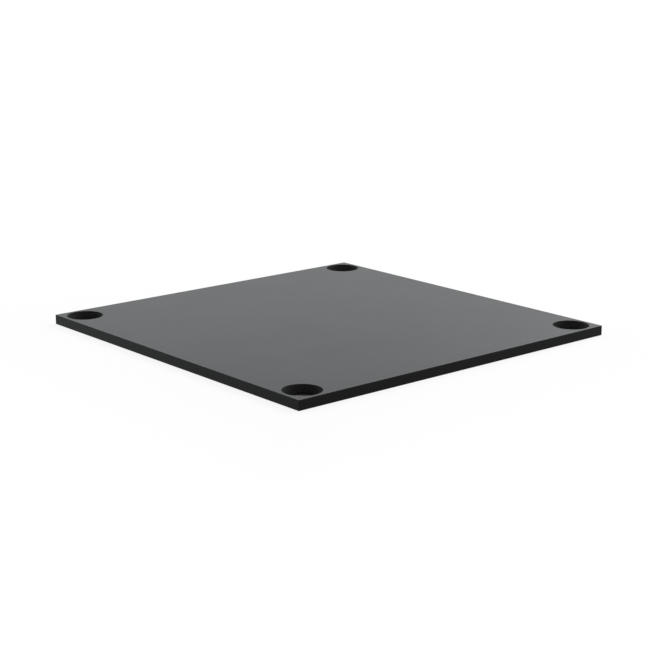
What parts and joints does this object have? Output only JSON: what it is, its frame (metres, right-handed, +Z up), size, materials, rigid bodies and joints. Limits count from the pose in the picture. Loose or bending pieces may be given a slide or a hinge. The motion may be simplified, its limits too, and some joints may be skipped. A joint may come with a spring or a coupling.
{
  "type": "cover plate",
  "caption": "Flat square cover plate in black anodised aluminium, with a large plain through hole close in to each corner.",
  "frame": {"origin": "centre of the underside, the face that lies on whatever the plate covers", "axes": "+Z up through the thickness, out of the top face; X and Y along the sides of the square"},
  "size_m": [0.2, 0.2, 0.005],
  "materials": {
    "black_anodised": "black anodised, satin"
  },
  "bodies": {
    "root": {"cover_plate": "black_anodised"}
  },
  "joints": []
}
